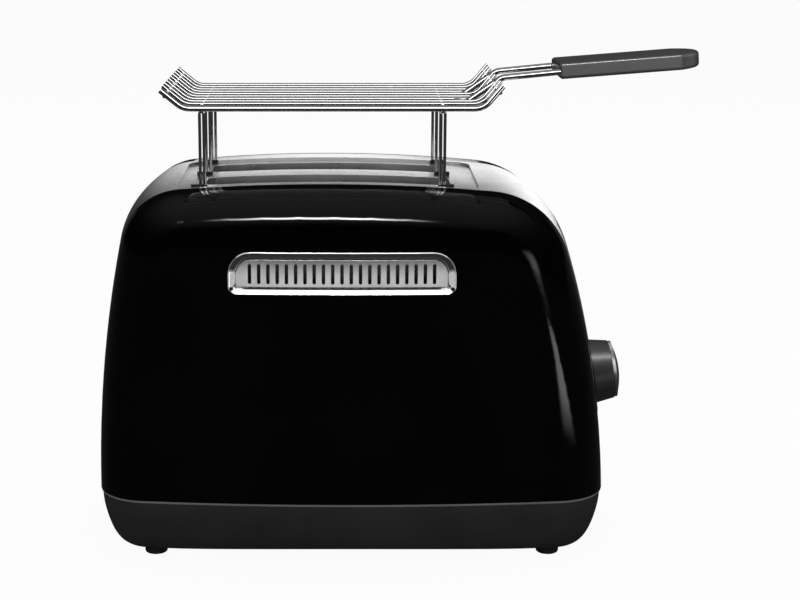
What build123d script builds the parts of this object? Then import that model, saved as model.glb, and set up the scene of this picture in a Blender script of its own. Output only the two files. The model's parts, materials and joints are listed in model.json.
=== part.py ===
from build123d import *
import math
import os

os.makedirs("parts", exist_ok=True)

# Millimetres. X runs along the toaster towards the control end, Y towards the rear, Z up.
# The origin is on the table under the middle of the base.

# Outside form of the body
seam_height = 36.3
body_top = 196.9
left_end = 137.0
right_end = 136.4
left_wall_radius = 618.0
right_wall_radius = 440.0
right_wall_lean = 0.03
left_corner_fall = 4.8
right_corner_fall = 6.6
left_shoulder = 34.0
right_shoulder = 45.0
crown_x = -15.0
body_half_depth = 89.0
front_bow_radius = 965.0
end_bow_radius = 450.0
edge_round = 28.0

# Steel band over the top and ends, and the enamelled shells in front of and behind it
band_half_width = 48.5
band_wall = 1.5
band_top_wall = 2.5
shell_wall = 1.5
recess_depth = 1.2
recess_half_width = 45.5
recess_corner = 8.0

# Bread slots and their turned-down collars
slot_length = 129.0
recess_margin = 14.5
slot_width = 24.0
slot_corner = 5.0
slot_centre_x = -12.5
slot_centre_y = 21.5
collar_wall = 1.2
collar_bottom = 188.0

# Vents in the front and rear shells
vent_width = 114.8
vent_height = 22.0
vent_centre_x = -5.2
vent_bottom = 147.0
vent_top_corner = 11.5
vent_low_corner = 4.5
vent_proud = 1.0
vent_lip = 1.5
vent_rim = 2.8
vent_collar_depth = 4.5
vent_clearance = 0.1
grille_depth = 2.6
grille_thickness = 0.8
grille_slots = 21
grille_pitch = 4.65
grille_slot_width = 1.8
grille_slot_height = 10.3
grille_slot_z = 157.2

# Crumb tray and its rails
tray_length = 130.0
tray_centre_x = -13.0
tray_front = -47.0
tray_inset = 13.0
tray_rear = body_half_depth - tray_inset
tray_bottom = 14.0
tray_top = 22.0
tray_sheet = 0.8
pull_lap = 1.4
pull_half_width = tray_length / 2 + pull_lap
pull_bottom = 13.2
pull_top = 25.4
pull_gap = 0.6
groove_inset = 4.0
groove_width = 40.0
groove_depth = 3.0
groove_height = 5.0
rail_reach = 3.4
rail_wall = 3.8
rail_top = 24.0
rail_gap = 0.3
rail_front = tray_front - 3.0
rail_rear = tray_rear - 4.0
rail_ledge = 1.5
rail_ledge_gap = 0.1

# Base
tub_levels = ((36.3, 1.0), (26.0, 2.0), (16.0, 5.0), (9.0, 9.0), (5.5, 14.0))
tub_wall = 2.2
tub_bottom = 5.5
tub_floor_top = 10.7
arch_half_span = 95.0
arch_rise = 3.0
foot_x = 104.5
foot_y = 59.5
foot_radius = 6.0
boss_radius = 4.5
boss_gap = 3.4
boss_x = tray_length / 2 - tray_centre_x + rail_gap + rail_wall + boss_gap + boss_radius
boss_y = 50.0
screw_head_radius = 3.1
screw_head_height = 2.4
screw_seat = 14.0
screw_shank_radius = 1.5
screw_length = 23.0
screw_clearance = 0.4

# Chassis
floor_bottom = 33.0
sheet = 1.2
floor_length = 224.0
floor_depth = 132.0
floor_top = floor_bottom + sheet
plate_thickness = 1.0
left_plate_x = -82.0
right_plate_x = 56.0
plate_half_depth = 46.0
plate_top = 187.0
reflector_y = 44.5
reflector_thickness = 0.8
reflector_bottom = 36.0
reflector_top = 186.0

# Heaters
card_y = 41.5
card_thickness = 1.0
card_bottom = 44.0
card_top = 184.0
ribbon_thickness = 0.3
ribbon_width = 1.5
ribbon_runs = 9
ribbon_pitch = 15.0
ribbon_bottom = 54.0
ribbon_length = 119.0

# Bread guides
guide_offset = 13.0
guide_travel = 4.5
wire_radius = 1.0
guide_bottom = 48.0
guide_top = 186.0
guide_wires = 7
guide_wire_pitch = 20.0
guide_rails = (62.0, 172.0)
slide_clearance = 0.3

# Carriage: lifters, bracket, bush, lever
lift_travel = 48.0
lifter_top = 100.0
lifter_web = 1.2
lifter_web_height = 12.0
lifter_finger_width = 13.0
lifter_finger_length = 4.0
lifter_fingers = 8
lifter_finger_pitch = 15.0
lifter_slot_width = 2.4
bracket_x = 66.0
bracket_thickness = 1.2
bracket_half_width = slot_centre_y + 6.5
bracket_bottom = lifter_top - lifter_web_height - 2.0
bracket_shoulder = lifter_top + 8.0
bracket_corner = 3.0
bracket_lap = 6.0
rod_x = 74.0
rod_radius = 3.0
rod_top = 186.0
rod_running_fit = 0.05
rod_tab_z = 180.0
bush_bottom = 138.0
bush_top = 166.0
bush_half_width = 6.5
bush_outer_x = 80.0
spring_radius = 4.6
spring_wire_radius = 0.6
spring_turns = 20
arm_half_width = 2.0
arm_bottom = 152.0
arm_top = 164.0
tab_inner_x = 101.8
tab_outer_x = 115.3
tab_half_width = 10.0
tab_bottom = 154.0
tab_top = 162.0

# Latch magnet
latch_x = 78.0
latch_y = 20.0
latch_length = 12.0
latch_width = 16.0
core_top = 56.0
core_pole = 6.0
core_leg = 2.5
coil_bottom = 40.0
coil_top = 54.0
armature_thickness = 3.0
armature_gap = 0.4

# Control panel in the right end
panel_half_width = 31.0
panel_bottom = 42.0
panel_top = 172.0
panel_gap = 0.2
panel_proud = 0.3
panel_wall = 3.0
flange_lap = 3.0
scoop_back_x = 101.0
scoop_half_width = 13.0
scoop_bottom = 104.0
scoop_top = 169.5
scoop_wall = 1.5
arm_slot_clearance = 0.6

# Browning dial, its axis square to the sloping end wall
dial_z = 83.3
dial_tilt = 7.5
skirt_start = 1.0
skirt_end = 11.8
skirt_radius = 17.9
skirt_end_radius = 16.1
cap_radius = 15.6
cap_start = 12.1
cap_ring_end = 13.6
cap_neck_radius = 13.8
dome_radius = 14.8
dome_top = 16.4
shaft_radius = 3.0
hub_radius = 5.5
knob_wall = 2.0

# Control board and push buttons behind the panel, measured along the dial's axis
board_depth = 22.0
board_thickness = 1.6
board_width = 60.0
board_height = 42.0
board_drop = 3.0
pot_radius = 8.0
pot_height = 8.4
button_radius = 4.5
button_y = 25.2
button_rows = (-11.4, 10.8)
button_face = -0.4
button_thickness = 3.0
button_flange_radius = 5.4
button_gap = 0.3
button_stem_radius = 2.0
button_stem_end = -15.1
switch_top = -16.6
switch_size = 6.0
post_x = 14.0
post_rows = (-20.0, 16.0)
post_radius = 2.2
lens_radius = 1.5
lens_row = -0.3

# Cord entry
cord_side_gap = 16.0
cord_x = tray_centre_x - tray_length / 2 - cord_side_gap
cord_z = 20.0
cord_hole_radius = 5.5
cord_bore_radius = 3.5
cord_flange_radius = 7.5
cord_inner_y = body_half_depth - 15.5
cord_outer_y = body_half_depth - 3.5
cord_flange = 2.0

# Warming rack
bar_radius = 1.0
bar_z = 237.4
bar_count = 9
bar_pitch = 11.45
rear_bar_y = 52.0
front_bar_y = -51.5
front_bar_radius = 1.6
front_bar_z = 236.4
bend_radius = 10.0
left_bend_x = -86.4
right_bend_x = 67.2
left_tip = (-97.9, 246.8)
right_tip = (76.8, 248.9)
short_bars = (2, 5)
short_bar_end = 54.0
cross_wire_radius = 1.1
cross_sink = 0.25
cross_reach = 4.3
leg_columns = (-77.7, 47.0)
leg_rows = (-43.0, 0.0, 43.0)
leg_wire_radius = 0.8
leg_wire_spacing = 2.1
weld_radius = 1.1
weld_height = 0.9
foot_top = 195.7
rack_foot_length = 8.4
rack_foot_width = 3.6
rack_foot_shift = 2.0
handle_wire_y = 17.0
handle_wire_radius = 1.65
handle_path = ((50.0, 234.75), (59.3, 234.75), (79.2, 248.6), (128.0, 253.4))
handle_bend = 7.0

# Grip of the warming rack
grip_start_x = 109.7
grip_end_x = 186.0
grip_round_x = 174.0
grip_half_width = 19.0
grip_thickness = 8.3
grip_top_z = 256.0
grip_slope = 4.4
grip_edge = 1.8


def left_wall_x(z):
    """X of the left end wall at height z."""
    return -left_end + (z - seam_height) ** 2 / (2 * left_wall_radius)


def right_wall_x(z):
    """X of the right end wall at height z."""
    height = z - seam_height
    return right_end - right_wall_lean * height - height ** 2 / (2 * right_wall_radius)


def front_bow(half_depth):
    """Face between the bowed front and rear walls, at the given half depth."""
    reach = 170.0
    sag = front_bow_radius - math.sqrt(front_bow_radius ** 2 - reach ** 2)
    with BuildSketch() as face:
        with BuildLine():
            ThreePointArc((-reach, sag - half_depth), (0, -half_depth), (reach, sag - half_depth))
            Line((reach, sag - half_depth), (reach, half_depth - sag))
            ThreePointArc((reach, half_depth - sag), (0, half_depth), (-reach, half_depth - sag))
            Line((-reach, half_depth - sag), (-reach, sag - half_depth))
        make_face()
    return face.sketch


def body_form(inset, top_inset, floor_z):
    """Solid with the body's outside shape, moved in by inset at the walls and top_inset on top."""
    left_z = body_top - left_corner_fall
    right_z = body_top - right_corner_fall
    left_mid_z = (floor_z + left_z) / 2
    right_mid_z = (floor_z + right_z) / 2
    with BuildPart() as form:
        for y in (-100, 0, 100):
            bow = y ** 2 / (2 * end_bow_radius) + inset
            left_top = (left_wall_x(left_z) + bow, left_z - top_inset)
            right_top = (right_wall_x(right_z) - bow, right_z - top_inset)
            left_foot = (left_wall_x(floor_z) + bow, floor_z)
            right_foot = (right_wall_x(floor_z) - bow, floor_z)
            left_middle = (left_wall_x(left_mid_z) + bow, left_mid_z - top_inset / 2)
            right_middle = (right_wall_x(right_mid_z) - bow, right_mid_z - top_inset / 2)
            with BuildSketch(Plane.XZ.offset(-y)) as section:
                with BuildLine():
                    ThreePointArc(left_foot, left_middle, left_top)
                    ThreePointArc(left_top, (crown_x, body_top - top_inset), right_top)
                    ThreePointArc(right_top, right_middle, right_foot)
                    Line(right_foot, left_foot)
                make_face()
                fillet(section.vertices().sort_by(Axis.X)[-2], radius=right_shoulder - inset)
                fillet(section.vertices().sort_by(Axis.X)[1], radius=left_shoulder - inset)
        loft()
        with BuildSketch(Plane.XY.offset(floor_z)):
            add(front_bow(body_half_depth - inset))
        extrude(amount=200, mode=Mode.INTERSECT)
        front = form.faces().sort_by(Axis.Y)[0]
        rear = form.faces().sort_by(Axis.Y)[-1]
        upper_edges = front.edges().sort_by(Axis.Z)[1:] + rear.edges().sort_by(Axis.Z)[1:]
        fillet(upper_edges, radius=edge_round - inset)
    return form.part


def plan_outline(inset):
    """Outline of the body seen from above at the seam, moved in by inset."""
    reach = 100.0
    bow = reach ** 2 / (2 * end_bow_radius)
    with BuildSketch() as outline:
        add(front_bow(body_half_depth - inset))
        with BuildLine():
            ThreePointArc((inset + bow - left_end, -reach), (inset - left_end, 0), (inset + bow - left_end, reach))
            Line((inset + bow - left_end, reach), (right_end - inset - bow, reach))
            ThreePointArc((right_end - inset - bow, reach), (right_end - inset, 0), (right_end - inset - bow, -reach))
            Line((right_end - inset - bow, -reach), (inset + bow - left_end, -reach))
        make_face(mode=Mode.INTERSECT)
        fillet(outline.vertices(), radius=edge_round - inset)
    return outline.sketch


def tub_form(wall):
    """Solid with the base's outside shape, moved in by wall."""
    with BuildPart() as form:
        for z, inset in tub_levels:
            with BuildSketch(Plane.XY.offset(z)):
                add(plan_outline(inset + wall))
        loft()
    return form.part


def wall_strip(outer, inner):
    """Strip that follows the bow of the front wall, from outer outside it to inner inside it."""
    with BuildPart() as strip:
        with BuildSketch(Plane.XY.offset(vent_bottom - 5)):
            add(front_bow(body_half_depth + outer))
            add(front_bow(body_half_depth - inner), mode=Mode.SUBTRACT)
            with Locations((0, body_half_depth)):
                Rectangle(400, body_half_depth, mode=Mode.SUBTRACT)
        extrude(amount=vent_height + 10)
    return strip.part


def vent_block(inset):
    """Block with the vent's outline, moved in by inset, through the front wall."""
    with BuildPart() as block:
        with BuildSketch(Plane.XZ.offset(body_half_depth + 6)) as outline:
            with Locations((vent_centre_x, vent_bottom + vent_height / 2)):
                Rectangle(vent_width - 2 * inset, vent_height - 2 * inset)
            low = outline.vertices().group_by(Axis.Y)[0]
            high = outline.vertices().group_by(Axis.Y)[-1]
            fillet(high, radius=vent_top_corner - inset)
            fillet(low, radius=max(vent_low_corner - inset, 1.5))
        extrude(amount=-20)
    return block.part


outer_form = body_form(0, 0, seam_height)
tub_outside = tub_form(0)

# Base tub: side wall, floor with an arched underside, screw bosses, tray and cord openings
with BuildPart() as tub_cavity:
    add(tub_form(tub_wall))
    with BuildSketch(Plane.XY.offset(tub_floor_top)):
        Rectangle(300, 200)
    extrude(amount=40, mode=Mode.INTERSECT)

with BuildPart() as base_tub:
    add(tub_outside)
    add(tub_cavity.part, mode=Mode.SUBTRACT)
    with BuildSketch(Plane.XZ.offset(-100)):
        with BuildLine():
            ThreePointArc((-arch_half_span, tub_bottom), (0, tub_bottom + arch_rise), (arch_half_span, tub_bottom))
            Line((arch_half_span, tub_bottom), (-arch_half_span, tub_bottom))
        make_face()
    extrude(amount=200, mode=Mode.SUBTRACT)
    with BuildSketch(Plane.XY.offset(tub_floor_top)):
        with GridLocations(2 * boss_x, 2 * boss_y, 2, 2):
            Circle(boss_radius)
    extrude(amount=floor_bottom - tub_floor_top)
    with BuildSketch(Plane.XY.offset(floor_bottom)):
        with GridLocations(2 * boss_x, 2 * boss_y, 2, 2):
            Circle(screw_shank_radius + screw_clearance / 2)
    extrude(amount=-floor_bottom, mode=Mode.SUBTRACT)
    with BuildSketch(Plane.XY.offset(screw_seat)):
        with GridLocations(2 * boss_x, 2 * boss_y, 2, 2):
            Circle(screw_head_radius + screw_clearance)
    extrude(amount=-screw_seat, mode=Mode.SUBTRACT)
    with BuildSketch(Plane.XZ.offset(-100)):
        with Locations((tray_centre_x, (pull_bottom + pull_top) / 2)):
            Rectangle(2 * (pull_half_width + pull_gap), pull_top - pull_bottom + 2 * pull_gap)
        with Locations((cord_x, cord_z)):
            Circle(cord_hole_radius)
    extrude(amount=40, mode=Mode.SUBTRACT)

base_tub.part.label = "base_tub"
export_step(base_tub.part, "parts/base_tub.step")

# Rubber feet
with BuildPart() as rubber_feet:
    with BuildSketch():
        with GridLocations(2 * foot_x, 2 * foot_y, 2, 2):
            Circle(foot_radius)
    extrude(amount=tub_bottom)
    fillet(rubber_feet.edges().group_by(Axis.Z)[0], radius=1.2)

rubber_feet.part.label = "rubber_feet"
export_step(rubber_feet.part, "parts/rubber_feet.step")

# Screws from below, through the tub's bosses into the chassis floor
with BuildPart() as base_screws:
    with BuildSketch(Plane.XY.offset(screw_seat - screw_head_height)):
        with GridLocations(2 * boss_x, 2 * boss_y, 2, 2):
            Circle(screw_head_radius)
    extrude(amount=screw_head_height)
    with BuildSketch(Plane.XY.offset(screw_seat)):
        with GridLocations(2 * boss_x, 2 * boss_y, 2, 2):
            Circle(screw_shank_radius)
    extrude(amount=screw_length)
    with BuildSketch(Plane.XY.offset(screw_seat - screw_head_height)):
        with GridLocations(2 * boss_x, 2 * boss_y, 2, 2):
            Rectangle(4.0, 0.9)
            Rectangle(0.9, 4.0)
    extrude(amount=1.2, mode=Mode.SUBTRACT)

base_screws.part.label = "base_screws"
export_step(base_screws.part, "parts/base_screws.step")

# Chassis floor, a steel sheet with a window for crumbs
with BuildPart() as chassis_floor:
    with BuildSketch(Plane.XY.offset(floor_bottom)):
        RectangleRounded(floor_length, floor_depth, 6)
        with Locations((slot_centre_x, 0)):
            Rectangle(right_plate_x - left_plate_x - 3, 2 * reflector_y - 3, mode=Mode.SUBTRACT)
        with GridLocations(2 * boss_x, 2 * boss_y, 2, 2):
            Circle(screw_shank_radius, mode=Mode.SUBTRACT)
    extrude(amount=sheet)

chassis_floor.part.label = "chassis_floor"
export_step(chassis_floor.part, "parts/chassis_floor.step")


def end_plate_blank(x):
    """End plate of the toasting chamber with slots for the guide rails and the lifters."""
    guide_slot_length = guide_travel + 2 * (wire_radius + slide_clearance)
    guide_slot_height = 2 * (wire_radius + slide_clearance)
    lifter_low = lifter_top - lifter_web_height - lift_travel
    with BuildPart() as plate:
        with BuildSketch(Plane.YZ.offset(x)):
            with Locations((0, (floor_top + plate_top) / 2)):
                Rectangle(2 * plate_half_depth, plate_top - floor_top)
            for centre in (-slot_centre_y, slot_centre_y):
                for side in (-1, 1):
                    for z in guide_rails:
                        with Locations((centre + side * (guide_offset - guide_travel / 2), z)):
                            Rectangle(guide_slot_length, guide_slot_height, mode=Mode.SUBTRACT)
                with Locations((centre, (lifter_low + lifter_top) / 2)):
                    Rectangle(lifter_slot_width, lifter_top - lifter_low + 4, mode=Mode.SUBTRACT)
        extrude(amount=plate_thickness)
    return plate.part


# End plates of the toasting chamber; the right one carries the tab that holds the guide rod
with BuildPart() as end_plate_left:
    add(end_plate_blank(left_plate_x))

end_plate_left.part.label = "end_plate_left"
export_step(end_plate_left.part, "parts/end_plate_left.step")

with BuildPart() as end_plate_right:
    add(end_plate_blank(right_plate_x))
    with BuildSketch(Plane.XY.offset(rod_tab_z)):
        with Locations((right_plate_x, 0)):
            Rectangle(rod_x + 6 - right_plate_x, 16, align=(Align.MIN, Align.CENTER))
        with Locations((rod_x, 0)):
            Circle(rod_radius, mode=Mode.SUBTRACT)
    extrude(amount=sheet)

end_plate_right.part.label = "end_plate_right"
export_step(end_plate_right.part, "parts/end_plate_right.step")

# Reflector sheets in front of and behind the heaters
with BuildPart() as reflector_rear:
    with BuildSketch(Plane.XZ.offset(-reflector_y)):
        with Locations((left_plate_x + plate_thickness, reflector_bottom)):
            Rectangle(
                right_plate_x - left_plate_x - plate_thickness,
                reflector_top - reflector_bottom,
                align=(Align.MIN, Align.MIN),
            )
    extrude(amount=-reflector_thickness)

reflector_rear.part.label = "reflector_rear"
export_step(reflector_rear.part, "parts/reflector_rear.step")

with BuildPart() as reflector_front:
    add(reflector_rear.part)
    mirror(about=Plane.XZ, mode=Mode.REPLACE)

reflector_front.part.label = "reflector_front"
export_step(reflector_front.part, "parts/reflector_front.step")

# Enamelled front and rear shells, each with an opening for its vent
with BuildPart() as front_shell:
    add(outer_form)
    add(body_form(shell_wall, shell_wall, seam_height - 1), mode=Mode.SUBTRACT)
    with BuildSketch(Plane.XY.offset(seam_height - 5)):
        with Locations((0, -band_half_width)):
            Rectangle(300, 100, align=(Align.CENTER, Align.MAX))
    extrude(amount=200, mode=Mode.INTERSECT)
    add(vent_block(vent_lip), mode=Mode.SUBTRACT)

front_shell.part.label = "front_shell"
export_step(front_shell.part, "parts/front_shell.step")

with BuildPart() as rear_shell:
    add(front_shell.part)
    mirror(about=Plane.XZ, mode=Mode.REPLACE)

rear_shell.part.label = "rear_shell"
export_step(rear_shell.part, "parts/rear_shell.step")

# Brushed steel band: wraps over the top and both ends, sunk around the bread slots
with BuildPart() as recess_cut:
    with BuildSketch(Plane.XY.offset(collar_bottom)):
        with Locations((slot_centre_x, 0)):
            RectangleRounded(slot_length + 2 * recess_margin, 2 * recess_half_width, recess_corner)
    extrude(amount=20)
    add(body_form(0, recess_depth, seam_height), mode=Mode.SUBTRACT)

with BuildPart() as slot_collars:
    with BuildSketch(Plane.XY.offset(collar_bottom)):
        with Locations((slot_centre_x, -slot_centre_y), (slot_centre_x, slot_centre_y)):
            RectangleRounded(slot_length + 2 * collar_wall, slot_width + 2 * collar_wall, slot_corner + collar_wall)
    extrude(amount=20)
    add(body_form(0, recess_depth, seam_height), mode=Mode.INTERSECT)

with BuildPart() as steel_band:
    add(outer_form)
    add(body_form(band_wall, band_top_wall, seam_height - 1), mode=Mode.SUBTRACT)
    with BuildSketch(Plane.XY.offset(seam_height - 5)):
        Rectangle(300, 2 * band_half_width)
    extrude(amount=200, mode=Mode.INTERSECT)
    add(recess_cut.part, mode=Mode.SUBTRACT)
    add(slot_collars.part)
    with BuildSketch(Plane.XY.offset(collar_bottom - 5)):
        with Locations((slot_centre_x, -slot_centre_y), (slot_centre_x, slot_centre_y)):
            RectangleRounded(slot_length, slot_width, slot_corner)
    extrude(amount=30, mode=Mode.SUBTRACT)
    with BuildSketch(Plane.YZ.offset(90)):
        with Locations((0, (panel_bottom + panel_top) / 2)):
            Rectangle(2 * panel_half_width, panel_top - panel_bottom)
    extrude(amount=60, mode=Mode.SUBTRACT)

steel_band.part.label = "steel_band"
export_step(steel_band.part, "parts/steel_band.step")

# Vent bezels with a lip on the shell and a collar through it
with BuildPart() as bezel_collar:
    add(vent_block(vent_lip + vent_clearance))
    add(wall_strip(0, vent_collar_depth), mode=Mode.INTERSECT)

with BuildPart() as front_vent_trim:
    add(vent_block(0))
    add(wall_strip(vent_proud, 0), mode=Mode.INTERSECT)
    add(bezel_collar.part)
    add(vent_block(vent_rim), mode=Mode.SUBTRACT)

front_vent_trim.part.label = "front_vent_trim"
export_step(front_vent_trim.part, "parts/front_vent_trim.step")

with BuildPart() as rear_vent_trim:
    add(front_vent_trim.part)
    mirror(about=Plane.XZ, mode=Mode.REPLACE)

rear_vent_trim.part.label = "rear_vent_trim"
export_step(rear_vent_trim.part, "parts/rear_vent_trim.step")

# Vent grilles, steel plates with a row of upright slots
with BuildPart() as front_vent_grille:
    add(vent_block(vent_rim))
    add(wall_strip(-grille_depth, grille_depth + grille_thickness), mode=Mode.INTERSECT)
    with BuildSketch(Plane.XZ.offset(body_half_depth + 6)):
        with Locations((vent_centre_x, grille_slot_z)):
            with GridLocations(grille_pitch, 1, grille_slots, 1):
                SlotOverall(grille_slot_height, grille_slot_width, rotation=90)
    extrude(amount=-20, mode=Mode.SUBTRACT)

front_vent_grille.part.label = "front_vent_grille"
export_step(front_vent_grille.part, "parts/front_vent_grille.step")

with BuildPart() as rear_vent_grille:
    add(front_vent_grille.part)
    mirror(about=Plane.XZ, mode=Mode.REPLACE)

rear_vent_grille.part.label = "rear_vent_grille"
export_step(rear_vent_grille.part, "parts/rear_vent_grille.step")


def heater_card(y):
    """Mica card that carries the heating ribbon, centred on y."""
    with BuildPart() as card:
        with BuildSketch(Plane.XZ.offset(-y - card_thickness / 2)):
            with Locations((left_plate_x + plate_thickness, card_bottom)):
                Rectangle(
                    right_plate_x - left_plate_x - plate_thickness,
                    card_top - card_bottom,
                    align=(Align.MIN, Align.MIN),
                )
        extrude(amount=card_thickness)
    return card.part


def heater_ribbon(y):
    """Flat heating ribbon laid to and fro, its near face at y."""
    with BuildPart() as ribbon:
        with BuildSketch(Plane.XZ.offset(-y)):
            for run in range(ribbon_runs):
                z = ribbon_bottom + run * ribbon_pitch
                with Locations((slot_centre_x, z)):
                    Rectangle(ribbon_length, ribbon_width)
            for run in range(ribbon_runs - 1):
                z = ribbon_bottom + (run + 0.5) * ribbon_pitch
                side = 1 if run % 2 == 0 else -1
                with Locations((slot_centre_x + side * (ribbon_length - ribbon_width) / 2, z)):
                    Rectangle(ribbon_width, ribbon_pitch + ribbon_width)
        extrude(amount=ribbon_thickness)
    return ribbon.part


# Mica heater cards
for name, y in (("front", -card_y), ("centre", 0), ("rear", card_y)):
    with BuildPart() as card:
        add(heater_card(y))
    card.part.label = "heater_card_" + name
    export_step(card.part, "parts/heater_card_" + name + ".step")

# Heating ribbons: one on each outer card, one on each side of the centre card
with BuildPart() as heater_ribbon_front:
    add(heater_ribbon(-card_y + card_thickness / 2 + ribbon_thickness))

heater_ribbon_front.part.label = "heater_ribbon_front"
export_step(heater_ribbon_front.part, "parts/heater_ribbon_front.step")

with BuildPart() as heater_ribbon_rear:
    add(heater_ribbon(card_y - card_thickness / 2))

heater_ribbon_rear.part.label = "heater_ribbon_rear"
export_step(heater_ribbon_rear.part, "parts/heater_ribbon_rear.step")

with BuildPart() as heater_ribbons_centre:
    add(heater_ribbon(-card_thickness / 2))
    add(heater_ribbon(card_thickness / 2 + ribbon_thickness))

heater_ribbons_centre.part.label = "heater_ribbons_centre"
export_step(heater_ribbons_centre.part, "parts/heater_ribbons_centre.step")

# Bread guides, four wire grids that close on the bread as it goes down
for name, y in (
    ("front_outer", -slot_centre_y - guide_offset),
    ("front_inner", -slot_centre_y + guide_offset),
    ("rear_inner", slot_centre_y - guide_offset),
    ("rear_outer", slot_centre_y + guide_offset),
):
    with BuildPart() as guide:
        with BuildSketch(Plane.XY.offset(guide_bottom)):
            with Locations((slot_centre_x, y)):
                with GridLocations(guide_wire_pitch, 1, guide_wires, 1):
                    Circle(wire_radius)
        extrude(amount=guide_top - guide_bottom)
        with BuildSketch(Plane.YZ.offset(left_plate_x - 2.5)):
            with Locations((y, guide_rails[0]), (y, guide_rails[1])):
                Circle(wire_radius)
        extrude(amount=right_plate_x - left_plate_x + 6)
    guide.part.label = "bread_guide_" + name
    export_step(guide.part, "parts/bread_guide_" + name + ".step")

# Bread lifters, a strip on edge with cross fingers that carry the slice
for name, y in (("front", -slot_centre_y), ("rear", slot_centre_y)):
    with BuildPart() as lifter:
        with BuildSketch(Plane.XY.offset(lifter_top - lifter_web_height)):
            with Locations((left_plate_x - 4, y)):
                Rectangle(bracket_x - left_plate_x + 4, lifter_web, align=(Align.MIN, Align.CENTER))
        extrude(amount=lifter_web_height)
        with BuildSketch(Plane.XY.offset(lifter_top - lifter_web)):
            with Locations((slot_centre_x, y)):
                with GridLocations(lifter_finger_pitch, 1, lifter_fingers, 1):
                    Rectangle(lifter_finger_length, lifter_finger_width)
        extrude(amount=lifter_web)
    lifter.part.label = "bread_lifter_" + name
    export_step(lifter.part, "parts/bread_lifter_" + name + ".step")

# Carriage bracket that joins both lifters to the bush on the guide rod
with BuildPart() as carriage_bracket:
    with BuildSketch(Plane.YZ.offset(bracket_x)):
        with Locations((0, (bracket_bottom + bracket_shoulder) / 2)):
            RectangleRounded(2 * bracket_half_width, bracket_shoulder - bracket_bottom, bracket_corner)
        with Locations((0, bracket_shoulder - bracket_lap)):
            Rectangle(
                2 * bush_half_width,
                bush_top - bracket_shoulder + bracket_lap,
                align=(Align.CENTER, Align.MIN),
            )
    extrude(amount=bracket_thickness)

carriage_bracket.part.label = "carriage_bracket"
export_step(carriage_bracket.part, "parts/carriage_bracket.step")

# Sliding bush on the guide rod
with BuildPart() as carriage_bush:
    with BuildSketch(Plane.XY.offset(bush_bottom)):
        with Locations((bracket_x + bracket_thickness, 0)):
            Rectangle(
                bush_outer_x - bracket_x - bracket_thickness, 2 * bush_half_width, align=(Align.MIN, Align.CENTER)
            )
        with Locations((rod_x, 0)):
            Circle(rod_radius + rod_running_fit, mode=Mode.SUBTRACT)
    extrude(amount=bush_top - bush_bottom)

carriage_bush.part.label = "carriage_bush"
export_step(carriage_bush.part, "parts/carriage_bush.step")

# Guide rod of the carriage
with BuildPart() as guide_rod:
    with BuildSketch(Plane.XY.offset(floor_top)):
        with Locations((rod_x, 0)):
            Circle(rod_radius)
    extrude(amount=rod_top - floor_top)

guide_rod.part.label = "guide_rod"
export_step(guide_rod.part, "parts/guide_rod.step")

# Return spring around the guide rod, between the chassis floor and the bush
with BuildPart() as return_spring:
    with BuildLine() as coil:
        Helix(
            pitch=(bush_bottom - floor_top - 2 * spring_wire_radius) / spring_turns,
            height=bush_bottom - floor_top - 2 * spring_wire_radius,
            radius=spring_radius,
            center=(rod_x, 0, floor_top + spring_wire_radius),
        )
    with BuildSketch(Plane(origin=coil.line @ 0, z_dir=coil.line % 0)):
        Circle(spring_wire_radius)
    sweep()

return_spring.part.label = "return_spring"
export_step(return_spring.part, "parts/return_spring.step")

# Lever arm from the bush out through the panel, and the thumb tab on its end
with BuildPart() as lever_arm:
    with BuildSketch(Plane.XY.offset(arm_bottom)):
        with Locations((bush_outer_x, 0)):
            Rectangle(tab_inner_x - bush_outer_x, 2 * arm_half_width, align=(Align.MIN, Align.CENTER))
    extrude(amount=arm_top - arm_bottom)

lever_arm.part.label = "lever_arm"
export_step(lever_arm.part, "parts/lever_arm.step")

with BuildPart() as lever_tab:
    with BuildSketch(Plane.XY.offset(tab_bottom)) as tab_plan:
        with Locations((tab_inner_x, 0)):
            Rectangle(tab_outer_x - tab_inner_x, 2 * tab_half_width, align=(Align.MIN, Align.CENTER))
        fillet(tab_plan.vertices().group_by(Axis.X)[-1], radius=4.5)
    extrude(amount=tab_top - tab_bottom)
    fillet(lever_tab.edges().group_by(Axis.Z)[-1] + lever_tab.edges().group_by(Axis.Z)[0], radius=1.6)
    with BuildSketch(Plane.XY.offset(tab_top)):
        with Locations((tab_outer_x - 7.0, 0)):
            with GridLocations(2.6, 1, 3, 1):
                Rectangle(0.9, 13)
    extrude(amount=-0.7, mode=Mode.SUBTRACT)

lever_tab.part.label = "lever_tab"
export_step(lever_tab.part, "parts/lever_tab.step")

# Latch: an iron plate on the carriage, and the magnet's core and coil on the chassis
with BuildPart() as latch_armature:
    with BuildSketch(Plane.XY.offset(core_top + lift_travel + armature_gap)):
        with Locations((bracket_x + bracket_thickness, latch_y)):
            Rectangle(
                latch_x + latch_length / 2 - bracket_x - bracket_thickness,
                latch_width,
                align=(Align.MIN, Align.CENTER),
            )
    extrude(amount=armature_thickness)

latch_armature.part.label = "latch_armature"
export_step(latch_armature.part, "parts/latch_armature.step")

with BuildPart() as latch_core:
    with BuildSketch(Plane.XY.offset(floor_top)):
        with Locations((latch_x, latch_y)):
            Rectangle(latch_length, latch_width)
    extrude(amount=coil_bottom - floor_top - 0.5)
    with BuildSketch(Plane.XY.offset(floor_top)):
        with Locations((latch_x, latch_y)):
            Rectangle(core_pole, core_pole)
        with Locations((latch_x, latch_y)):
            with GridLocations(1, latch_width - core_leg, 1, 2):
                Rectangle(latch_length, core_leg)
    extrude(amount=core_top - floor_top)

latch_core.part.label = "latch_core"
export_step(latch_core.part, "parts/latch_core.step")

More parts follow.
